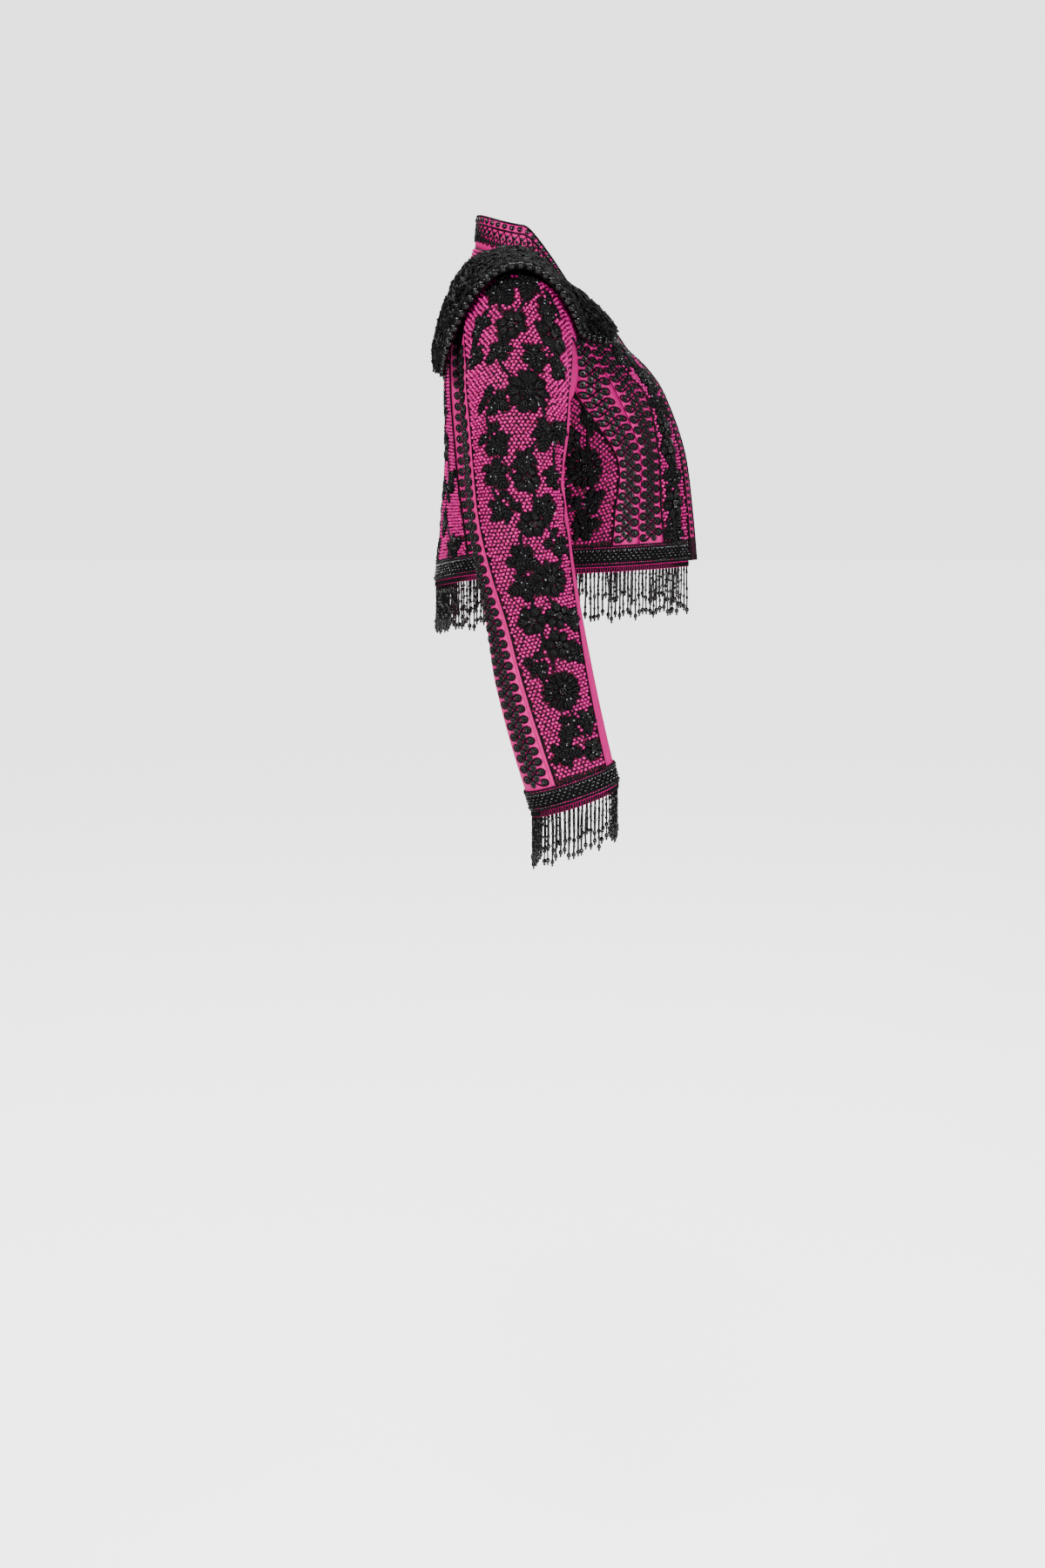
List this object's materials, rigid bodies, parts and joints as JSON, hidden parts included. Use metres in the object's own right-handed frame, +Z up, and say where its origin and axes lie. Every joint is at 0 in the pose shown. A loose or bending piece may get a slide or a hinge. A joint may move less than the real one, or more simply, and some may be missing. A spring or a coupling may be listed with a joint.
{
  "type": "matador jacket",
  "caption": "Cropped fuchsia jacket worn open, with stand collar, black beaded shoulder capes, floral applique, scrollwork and bead fringe at hem and cuffs.",
  "frame": {"origin": "centre of the neck, level with the collar seam at the side of the neck, where the wearer carries the jacket", "axes": "+Z up along the wearer's body, -Y to the wearer's front, +X to the wearer's left"},
  "size_m": [0.597, 0.3165, 0.7351],
  "materials": {
    "pink_lattice": "fuchsia cloth worked all over in a puffed lattice, matt with black thread between the nubs",
    "pink_satin": "fuchsia satin with a soft sheen",
    "black_beads": "glossy black beads and bullion on black cord"
  },
  "bodies": {
    "root": {"back_panel": "pink_lattice", "collar": "pink_satin", "side_back_left": "pink_satin", "side_panel_left": "pink_lattice", "side_front_left": "pink_satin", "middle_front_left": "pink_satin", "front_panel_left": "pink_lattice", "front_band_left": "pink_satin", "upper_sleeve_left": "pink_lattice", "under_sleeve_left": "pink_satin", "shoulder_cape_left": "black_beads", "cuff_band_left": "black_beads", "cuff_fringe_left": "black_beads", "side_back_right": "pink_satin", "side_panel_right": "pink_lattice", "side_front_right": "pink_satin", "middle_front_right": "pink_satin", "front_panel_right": "pink_lattice", "front_band_right": "pink_satin", "upper_sleeve_right": "pink_lattice", "under_sleeve_right": "pink_satin", "shoulder_cape_right": "black_beads", "cuff_band_right": "black_beads", "cuff_fringe_right": "black_beads", "hem_band": "black_beads", "hem_fringe": "black_beads"}
  },
  "joints": []
}
